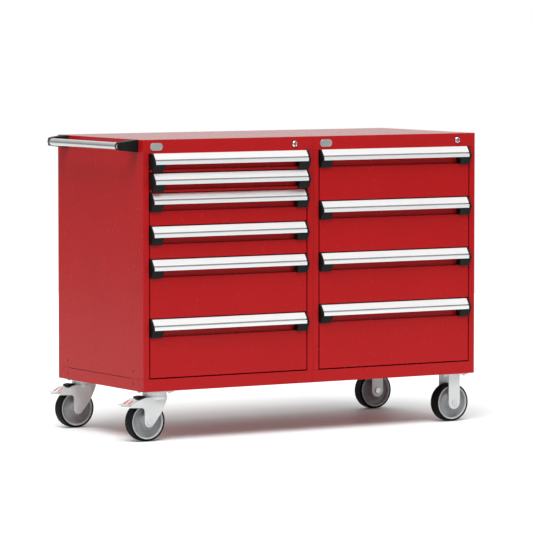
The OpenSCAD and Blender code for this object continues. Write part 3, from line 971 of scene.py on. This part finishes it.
@dataclass
class Drawer:
    """One drawer: folded front, tray, aluminium pull and its end caps."""

    chest: Chest
    palette: Palette
    name: str
    front_gap: float = 5.0
    front_t: float = 20.0
    tray_t: float = 1.2
    recess_d: float = 14.0
    pull_h: float = 41.5
    pull_t: float = 2.2
    reach: float = 22.5
    cap_t: float = 7.0
    end_play: float = 3.5
    cap_h: float = 71.0
    block_w: float = 51.0
    block_draft: float = 4.5
    slide_w: float = 12.7
    tray_l: float = 600.0
    runner_l: float = 590.0
    runner_start: float = 30.0
    floor_rise: float = 6.0
    rim_drop: float = 16.0
    recess_h: float = 68.0
    x0: float = field(init=False)
    x1: float = field(init=False)
    y0: float = field(init=False)
    back: float = field(init=False)
    top: float = field(init=False)
    h: float = field(init=False)
    ledge: float = field(init=False)

    def __post_init__(self) -> None:
        """Reads the drawer's place from the frame."""
        low, high = self.chest.span(f"drawer_{self.name}")
        pull_low, pull_high = self.chest.span(f"pull_{self.name}")
        self.x0, self.x1 = pull_low.x, pull_high.x
        self.y0, self.back = low.y, high.y
        self.top = pull_high.z
        self.h = self.top - low.z
        self.ledge = -min(self.recess_h, self.h - 10.0)

    def build(self) -> None:
        """Builds the drawer's pieces."""
        self._front()
        self._tray()
        self._pull()
        self._caps()

    def _at(self, outline: list[Point2]) -> list[Point2]:
        """Moves an outline in (y, z) from the drawer's own frame."""
        return [(self.y0 + y, self.top + z) for y, z in outline]

    def _dress(self, piece: bpy.types.Object, slot: str, *nodes: str) -> None:
        """Sets a piece on the drawer's body."""
        dress(piece, f"drawer_{self.name}", slot, *nodes)

    def _front(self) -> None:
        """Folded front with the finger recess over it."""
        c = self.chest
        shaper = c.shaper()
        x0, x1, y0, top = self.x0, self.x1, self.y0, self.top
        shaper.pan(
            (x0, y0, top - self.h), (x1, y0 + self.front_t - 1, top + self.ledge), (0, 1, 0), c.sheet, 1.6
        )
        back = [
            (self.recess_d - 3, self.ledge - 0.75),
            (self.recess_d + 0.75, self.ledge - 0.75),
            (self.recess_d + 0.75, -1.75),
            (self.front_t - 1.5, -1.75),
        ]
        shaper.prism(self._at(folded(back, c.sheet, 1.8)), Axis.X, x0 + 0.3, x1 - 0.3)
        piece = shaper.finish(f"front_{self.name}", self.palette.red, 0.25)
        self._dress(piece, "red_paint", f"drawer_{self.name}")

    def _tray(self) -> None:
        """Tray behind the front, with rolled rims and the slide runners on its sides."""
        t = self.tray_t
        shaper = self.chest.shaper()
        inset = self.slide_w - self.front_gap
        x0, x1 = self.x0 + inset, self.x1 - inset
        y0 = self.y0 + self.front_t - t
        y1 = min(self.back, self.y0 + self.front_t + self.tray_l)
        floor, rim = self.top - self.h + self.floor_rise, self.top - self.rim_drop
        shaper.box((x0, y0, self.top - self.h + 1.5), (x1, y0 + t, self.top - 2.6))
        shaper.box((x0 + t, y0 + t, floor), (x1 - t, y1 - t, floor + t))
        for x, lean in ((x0, 1), (x1, -1)):
            side = [
                (x + lean * t / 2, floor),
                (x + lean * t / 2, rim - t / 2),
                (x + lean * 6.0, rim - t / 2),
                (x + lean * 6.0, rim - 5.0),
            ]
            shaper.prism(folded(side, t, 1.4), Axis.Y, y0 + t, y1 - t)
        shaper.box((x0, y1 - t, floor), (x1, y1, rim))
        self._dress(shaper.finish(f"tray_{self.name}", self.palette.red, 0.2), "red_paint")
        self._runners(x0, x1)

    def _runners(self, x0: float, x1: float) -> None:
        """Zinc runners of the slides."""
        c = self.chest
        middle = self.top - self.h + 28
        section = ((4.6, 10.25), (0.8, 10.25), (0.8, -10.25), (4.6, -10.25))
        front = c.span("slide_rails_left")[0].y
        start = max(self.y0 + self.front_t, front - self.runner_start)
        shaper = c.shaper()
        for x, lean in ((x0, -1), (x1, 1)):
            path = [(x + lean * out, middle + up) for out, up in section]
            shaper.prism(folded(path, 1.5, 1.5), Axis.Y, start, start + self.runner_l)
        self._dress(shaper.finish(f"runners_{self.name}", self.palette.slide_zinc, 0.2), "slide_zinc")

    def _pull_outline(self) -> list[Point2]:
        """Section of the pull: sloping face, groove, rounded lip and back flange."""
        t, reach, rd = self.pull_t, self.reach, self.recess_d
        outer = [
            (rd, -22), (rd, 0), (-3.0, 0), (-19.0, -22.5), (-15.0, -23.4), (-15.0, -27.6),
            (-reach, -28.4), (-reach, -self.pull_h), (-reach + t, -self.pull_h),
            (-reach + t, -30.7), (-15.0 + t, -30.7), (-15.0 + t, -23.0),
            (-1.8, -t), (rd - t, -t), (rd - t, -22),
        ]
        return rounded(outer, 0.7, 3)

    def _pull(self) -> None:
        """The aluminium extrusion, with a grey strip in its groove that is painted shade."""
        c = self.chest
        shaper = c.shaper()
        start, end = self.x0 + self.cap_t + 0.1, self.x1 - self.cap_t - self.end_play - 0.1
        shaper.prism(self._at(self._pull_outline()), Axis.X, start, end)
        piece = shaper.finish(f"pull_bar_{self.name}", self.palette.pull_metal, sharp=24.0)
        self._dress(piece, "aluminium", f"pull_{self.name}")
        # painted shade: a grey strip in the groove darkens it where only shade falls
        strip = c.shaper()
        section = self._at([(-16.4, -27.3), (-16.4, -23.7), (-15.1, -23.5), (-15.1, -27.5)])
        strip.prism(section, Axis.X, start + 0.3, end - 0.3)
        self._dress(strip.finish(f"label_strip_{self.name}", self.palette.strip), "black_plastic")

    def _cap_outline(self) -> list[Point2]:
        """Side view of an end cap."""
        nose = self.reach + 1
        return rounded(
            [
                (self.recess_d, 0), (-3.0, 0), (-nose, -33.0), (-nose, -40.5), (-8.0, -self.cap_h),
                (0.0, -self.cap_h), (0.0, self.ledge), (self.recess_d, self.ledge),
            ],
            1.2,
            3,
        )

    def _block_outline(self) -> list[Point2]:
        """Side view of the cap's block under the pull."""
        nose, top = self.reach + 0.4, -self.pull_h - 0.2
        return [
            (self.recess_d, top), (-nose + 1.0, top), (-8.0, -self.cap_h),
            (0.0, -self.cap_h), (0.0, self.ledge), (self.recess_d, self.ledge),
        ]

    def _caps(self) -> None:
        """The two black end caps."""
        c = self.chest
        shaper = c.shaper()
        for start, lean in ((self.x0, 1.0), (self.x1, -1.0)):
            reach = self.cap_t if lean > 0 else self.cap_t + self.end_play
            ends = sorted((start, start + lean * reach))
            shaper.prism(self._at(self._cap_outline()), Axis.X, *ends)
            part = c.shaper()
            inner = start + lean * self.block_w
            part.prism(self._at(self._block_outline()), Axis.X, start + lean * (self.cap_t - 0.5), inner)
            for vert in part.bm.verts:
                if abs(vert.co.x - inner) < 0.01:
                    share = (self.top - self.pull_h - vert.co.z) / (self.cap_h - self.pull_h)
                    vert.co.x -= lean * self.block_draft * max(0.0, share)
            bmesh.ops.recalc_face_normals(part.bm, faces=part.bm.faces[:])
            shaper.merge(part.bm)
        piece = shaper.finish(f"pull_caps_{self.name}", self.palette.black, 0.7, segments=3)
        self._dress(piece, "black_plastic")


# ---------------------------------------------------------------- front trim


@dataclass
class Lock:
    """Bezel, turning plug and keyhole of one lock."""

    chest: Chest
    palette: Palette
    side: Side
    bezel_r: float = 12.0
    plug_r: float = 7.0
    out: float = 7.0

    def build(self) -> None:
        """Builds the bezel and the plug, and dresses the bar behind them."""
        c = self.chest
        side = self.side.value
        low, high = c.span(f"lock_plug_{side}")
        x, z = (low.x + high.x) / 2, c.lock_z()
        shaper = c.shaper()
        r = self.bezel_r
        profile = [
            (self.plug_r + 0.05, 17.0), (self.plug_r + 0.05, -self.out + 0.6),
            (self.plug_r + 0.7, -self.out), (r - 3.0, -self.out), (r - 0.6, -self.out + 2.2),
            (r, -self.out + 3.0), (r, -0.6), (r - 0.6, 0.0), (10.0, 0.0), (10.0, 17.0),
        ]
        shaper.lathe(profile, (x, 0.0, z), 64)
        nodes = ("lock_barrels",) if self.side is Side.LEFT else ()
        bezel = shaper.finish(f"lock_bezel_{side}", self.palette.chrome, sharp=40.0)
        dress(bezel, "housing", "chrome", *nodes)
        self._plug(x, z, side)
        refinish(f"lock_bar_{side}", self.palette.slide_zinc)

    def _plug(self, x: float, z: float, side: str) -> None:
        """The turning plug, with a keyhole cut in its face and the cam behind it."""
        c = self.chest
        shaper = c.shaper()
        face = -self.out + 0.8
        r = self.plug_r
        outline = [(0.01, face), (r - 0.5, face), (r, face + 0.5), (r, 18.0), (0.01, 18.0)]
        shaper.lathe(outline, (x, 0.0, z), 56)
        shaper.box((x - 6, 18.0, z - 19), (x + 6, 20.0, z + 6))
        key = c.shaper()
        key.box((x - 1.1, face - 1, z - 4.4), (x + 1.1, face + 5, z + 4.4))
        plug = shaper.finish(f"lock_plug_face_{side}", self.palette.chrome, sharp=40.0, cuts=key)
        dress(plug, f"lock_plug_{side}", "chrome", f"lock_plug_{side}")


@dataclass
class Badges:
    """Small blank plates on the top rails, with a raised border."""

    chest: Chest
    palette: Palette
    inset: float = 58.0
    width: float = 55.0
    height: float = 29.0
    thick: float = 2.2

    def build(self) -> None:
        """Builds the two plates."""
        c = self.chest
        shaper = c.shaper()
        z = c.lock_z()
        for x0 in (0.0, c.bay_w):
            x = x0 + self.inset
            shaper.prism(self._pill(x, z, 0.0), Axis.Y, -self.thick, 0.0)
            outer, inner = self._pill(x, z, -1.2), self._pill(x, z, -3.0)
            front, back = -self.thick - 0.5, -self.thick + 0.2
            rings = [
                [shaper.bm.verts.new((u, y, v)) for u, v in ring]
                for ring, y in ((outer, back), (outer, front), (inner, front), (inner, back))
            ]
            count = len(outer)
            for a, b in zip(rings, rings[1:] + rings[:1]):
                for i in range(count):
                    j = (i + 1) % count
                    shaper.bm.faces.new([a[i], a[j], b[j], b[i]])
        dress(shaper.finish("blank_plates", self.palette.badge, 0.3), "housing", "aluminium")

    def _pill(self, x: float, z: float, grow: float) -> list[Point2]:
        """Outline of a plate with round ends, grown by some millimetres."""
        r = self.height / 2 + grow
        run = (self.width - self.height) / 2
        return arc((x + run, z), r, -90, 90, 14) + arc((x - run, z), r, 90, 270, 14)


@dataclass
class PushHandle:
    """Tube and elbow brackets on the left side."""

    chest: Chest
    palette: Palette
    wall: float = 2.0
    edge: float = 0.9

    def build(self) -> None:
        """Builds the tube and the two brackets."""
        c = self.chest
        low, high = c.span("push_handle_tube")
        radius = (high.z - low.z) / 2
        inner = radius - self.wall
        tube = c.shaper()
        tube.lathe(
            [(radius, low.y), (radius, high.y), (inner, high.y), (inner, low.y)],
            (low.x + radius, 0.0, low.z + radius),
        )
        dress(tube.finish("grip_tube", self.palette.tube_metal), "housing", "aluminium", "push_handle_tube")
        elbows = c.shaper("push_handle_brackets")
        piece = elbows.finish("grip_brackets", self.palette.black, self.edge, sharp=34.0, segments=3)
        dress(piece, "housing", "black_plastic", "push_handle_brackets")


# ---------------------------------------------------------------- casters


@dataclass
class Wheel:
    """Dished hub with a paler rim ring, whose lighter grey is a painted highlight, and a moulded tyre."""

    chest: Chest
    palette: Palette
    end: CasterEnd
    side: Side
    hub_r: float = 68.2
    bore: float = 6.05
    shoulder: float = 6.6

    def build(self) -> None:
        """Builds the wheel on its own body."""
        c = self.chest
        key = f"{self.end.value}_{self.side.value}"
        low, high = c.span(f"tyre_{key}")
        centre = tuple((low + high) / 2)
        radius = (high.z - low.z) / 2
        body = f"wheel_{key}"
        hub = c.shaper()
        half = [
            (self.bore, 30.0), (25.0, 30.0), (26.6, 29.2), (28.4, 25.0), (32.0, 17.5), (38.0, 10.8),
            (46.0, 7.2), (53.0, 7.0), (58.0, 9.4), (61.0, 13.6), (62.4, 18.6),
        ]
        hub.lathe(both_faces(half), centre, 96)
        dress(hub.finish(f"hub_dish_{key}", self.palette.hub, sharp=50.0), body, "hub_plastic", f"hub_{key}")
        # painted highlight: the rim ring's paler grey stands in for the light on its bead
        rim = c.shaper()
        ring = [(61.6, 15.6), (62.6, 20.4), (63.6, 22.8), (65.0, 23.5), (67.2, 23.2), (self.hub_r, 22.0)]
        rim.lathe(both_faces(ring), centre, 96)
        dress(rim.finish(f"hub_rim_{key}", self.palette.rim, sharp=50.0), body, "hub_plastic")
        tyre = c.shaper()
        middle = (radius - self.shoulder - 0.4, (high.y - low.y) / 2 - self.shoulder)
        corner = arc(middle, self.shoulder, 90, 8, 8)
        top = [(self.hub_r, 22.4), (68.7, 24.2)] + corner + [(radius, 12.0)]
        tyre.lathe(both_faces(top), centre, 120)
        tread = tyre.finish(f"tread_{key}", self.palette.rubber, sharp=50.0)
        dress(tread, body, "tyre_rubber", f"tyre_{key}")


@dataclass
class SwivelCaster:
    """Fork, axle and brake pedal of a swivel caster. Outlines are in (x, z) from its axis."""

    chest: Chest
    palette: Palette
    end: CasterEnd
    reach: float = 146.0
    slope: tuple[Point2, ...] = ((-124.6, -46.8), (-105.2, -35.6), (-105.6, -34.9), (-125.0, -46.1))
    lever: tuple[Point2, ...] = (
        (-84.0, -21.0), (-66.0, -18.2), (-50.0, -19.6), (-50.0, -22.0), (-60.0, -24.6), (-82.0, -32.0)
    )

    def build(self) -> None:
        """Dresses the fork and axle, and builds the pedal's painted and black parts."""
        end = self.end.value
        fork = self.chest.shaper(f"swivel_fork_{end}")
        piece = fork.finish(f"fork_{end}", self.palette.caster_zinc, 0.6, sharp=28.0)
        dress(piece, f"swivel_{end}", "caster_zinc", f"swivel_fork_{end}")
        self._axle(end)
        self._pedal(end)

    def _axle(self, end: str) -> None:
        """Axle bolt with a low domed head."""
        node = f"swivel_axle_{end}"
        bolt = axle_bolt(self.chest, node, f"axle_{end}", self.palette.slide_zinc)
        dress(bolt, f"swivel_{end}", "caster_zinc", node)

    def _pedal(self, end: str) -> None:
        """Pedal plate, its painted stripes and the black lever behind it."""
        c = self.chest
        body = f"brake_pedal_{end}"
        plate = c.shaper(body).finish(f"pedal_{end}", self.palette.caster_zinc, 0.5, sharp=28.0)
        dress(plate, body, "caster_zinc", body)
        low, high = c.span(body)
        mid_y = (low.y + high.y) / 2
        axis = low.x + self.reach
        stripes = c.shaper()
        for y in (mid_y - 21, mid_y + 13):
            stripes.prism([(axis + x, z) for x, z in self.slope], Axis.Y, y, y + 8)
        dress(stripes.finish(f"pedal_stripes_{end}", self.palette.stripe), body, "red_paint")
        lever = c.shaper()
        side = [(axis + x, z) for x, z in rounded(list(self.lever), 1.6)]
        lever.prism(side, Axis.Y, mid_y - 20, mid_y + 20)
        dress(lever.finish(f"release_lever_{end}", self.palette.black, 0.8), body, "black_plastic")


def axle_bolt(chest: Chest, node: str, name: str, material: bpy.types.Material) -> bpy.types.Object:
    """An axle bolt made round its CAD node: domed head in front, hex nut behind.

    Args:
        chest: Shared sizes.
        node: CAD node of the bolt, or of the pair of bolts.
        name: Name of the piece.
        material: Its finish.

    Returns:
        The finished bolt.
    """
    return chest.shaper(node).finish(name, material, 0.9, sharp=28.0, segments=3)


@dataclass
class CasterPlates:
    """Plates, races, rigid forks and bolts that stay with the housings."""

    chest: Chest
    palette: Palette
    studs: StudField
    pitch_x: float = 92.0
    pitch_y: float = 76.0
    head: float = 7.5
    plate_t: float = 5.0

    def build(self) -> None:
        """Builds the fixed caster parts."""
        c = self.chest
        zinc = self.palette.caster_zinc
        for node, name in (("swivel_plates", "plates_swivel"), ("rigid_forks", "forks_rigid")):
            dress(c.shaper(node).finish(name, zinc, 0.6, sharp=28.0), "housing", "caster_zinc", node)
        axles = axle_bolt(c, "rigid_axles", "axles_rigid", self.palette.slide_zinc)
        dress(axles, "housing", "caster_zinc", "rigid_axles")
        self._bolts()

    def _bolts(self) -> None:
        """Hex bolts at the corners of the four caster plates."""
        c = self.chest
        low, high = c.span("caster_bolts")
        in_x, in_y = self.head + self.pitch_x / 2, self.head + self.pitch_y / 2
        flip = Matrix.Rotation(math.pi, 4, "X")
        places = [
            Matrix.Translation(Vector((x, y, -self.plate_t)) * MM + c.origin) @ flip
            for x in (low.x + in_x, high.x - in_x)
            for y in (low.y + in_y, high.y - in_y)
        ]
        piece = self.studs.build(
            "plate_bolts",
            places,
            0.5,
            Count_X=2,
            Count_Y=2,
            Size_X=self.pitch_x * MM,
            Size_Y=self.pitch_y * MM,
            Head_Radius=0.0072,
            Head_Height=0.0042,
            Head_Sides=6,
            Washer_Radius=0.0085,
            Washer_Height=0.0011,
            Material=self.palette.caster_zinc,
        )
        dress(piece, "housing", "caster_zinc", "caster_bolts")


# ---------------------------------------------------------------- studio


@dataclass
class Studio:
    """Camera, floor and soft lights."""

    chest: Chest
    camera_offset: Point3 = (-7342.6, -13049.1, 1515.7)
    heading: float = 31.163
    tilt: float = 3.948
    lens: float = 265.83
    sensor: float = 36.0
    far: float = 200.0
    sky: float = 0.68
    ground: float = 0.36
    key: float = 3.3
    key_spread: float = 42.0
    key_from: Point3 = (-0.30, -0.40, 1.0)
    backdrop: float = 0.45
    backdrop_at: Point3 = (0.52, 0.85, 0.05)
    floor_r: float = 7.0

    def build(self) -> None:
        """Sets up the whole studio."""
        self._camera()
        self._floor()
        self._world()
        self._lights()

    def _camera(self) -> None:
        """Long lens, looking down a little from the front left."""
        data = bpy.data.cameras.new("Camera")
        data.lens = self.lens
        data.sensor_width = self.sensor
        data.clip_end = self.far
        camera = link("Camera", data)
        camera.location = Vector(self.camera_offset) * MM + self.chest.origin
        camera.rotation_euler = (math.radians(90 - self.tilt), 0, math.radians(-self.heading))
        bpy.context.scene.camera = camera

    def _floor(self) -> None:
        """Wide white floor."""
        mesh = bpy.data.meshes.new("floor")
        rim = [(x, y, 0.0) for x, y in arc((0.0, 0.0), self.floor_r, 0, 355, 71)]
        mesh.from_pydata(rim, [], [tuple(range(len(rim)))])
        grain = Grain("White floor")
        preset(grain.shader, Base_Color=(0.80, 0.845, 0.845, 1.0), Roughness=0.55, Specular_IOR_Level=0.2)
        mesh.materials.append(grain.material)
        link("floor", mesh)

    def _world(self) -> None:
        """White surroundings, brighter overhead and behind the chest."""
        world = bpy.data.worlds.new("Studio")
        world.use_nodes = True
        tree = world.node_tree
        background = tree.nodes["Background"]
        preset(background, Color=(1.0, 1.0, 1.0, 1.0))
        direction = tree.nodes.new("ShaderNodeTexCoord").outputs["Generated"]
        split = tree.nodes.new("ShaderNodeSeparateXYZ")
        tree.links.new(direction, split.inputs["Vector"])
        toward = tree.nodes.new("ShaderNodeVectorMath")
        toward.operation = "DOT_PRODUCT"
        toward.inputs[1].default_value = self.backdrop_at
        tree.links.new(direction, toward.inputs[0])
        both = tree.nodes.new("ShaderNodeMath")
        height_fade = (split.outputs["Z"], -0.15, 0.60, self.ground, self.sky)
        backdrop_fade = (toward.outputs["Value"], 0.35, 0.95, 0.0, self.backdrop)
        for slot, (value, start, end, low, high) in enumerate((height_fade, backdrop_fade)):
            fade = tree.nodes.new("ShaderNodeMapRange")
            fade.interpolation_type = "SMOOTHSTEP"
            preset(fade, From_Min=start, From_Max=end, To_Min=low, To_Max=high)
            tree.links.new(value, fade.inputs["Value"])
            tree.links.new(fade.outputs["Result"], both.inputs[slot])
        path = tree.nodes.new("ShaderNodeLightPath")
        pick = tree.nodes.new("ShaderNodeMix")
        preset(pick, B=1.0)
        tree.links.new(path.outputs["Is Camera Ray"], pick.inputs["Factor"])
        tree.links.new(both.outputs["Value"], pick.inputs["A"])
        tree.links.new(pick.outputs["Result"], background.inputs["Strength"])
        scene = bpy.context.scene
        scene.world = world
        scene.view_settings.view_transform = "Standard"

    def _lights(self) -> None:
        """One very soft key from the front left, high up."""
        data = bpy.data.lights.new("Soft key", "SUN")
        data.energy = self.key
        data.angle = math.radians(self.key_spread)
        light = link("Soft key", data)
        light.rotation_euler = Vector(self.key_from).to_track_quat("Z", "Y").to_euler()


# ---------------------------------------------------------------- the whole chest


def main() -> None:
    """Loads the frame and builds the studio and every sub-assembly."""
    logging.basicConfig(level=logging.INFO, format="%(name)s: %(message)s")
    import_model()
    chest = Chest.read()
    Studio(chest).build()
    palette = Palette.make()
    studs = StudField()
    for side in Side:
        Housing(chest, palette, side).build()
        Lock(chest, palette, side).build()
    BackPanels(chest, palette, studs).build()
    for name in [f"l{i}" for i in range(1, 7)] + [f"r{i}" for i in range(1, 5)]:
        Drawer(chest, palette, name).build()
        refinish(f"carriages_{name}", palette.slide_zinc)
    for node in ("slide_rails_left", "slide_rails_right"):
        refinish(node, palette.slide_zinc)
    Badges(chest, palette).build()
    PushHandle(chest, palette).build()
    CasterPlates(chest, palette, studs).build()
    for end in CasterEnd:
        SwivelCaster(chest, palette, end).build()
        for side in Side:
            Wheel(chest, palette, end, side).build()


if __name__ == "__main__":
    main()
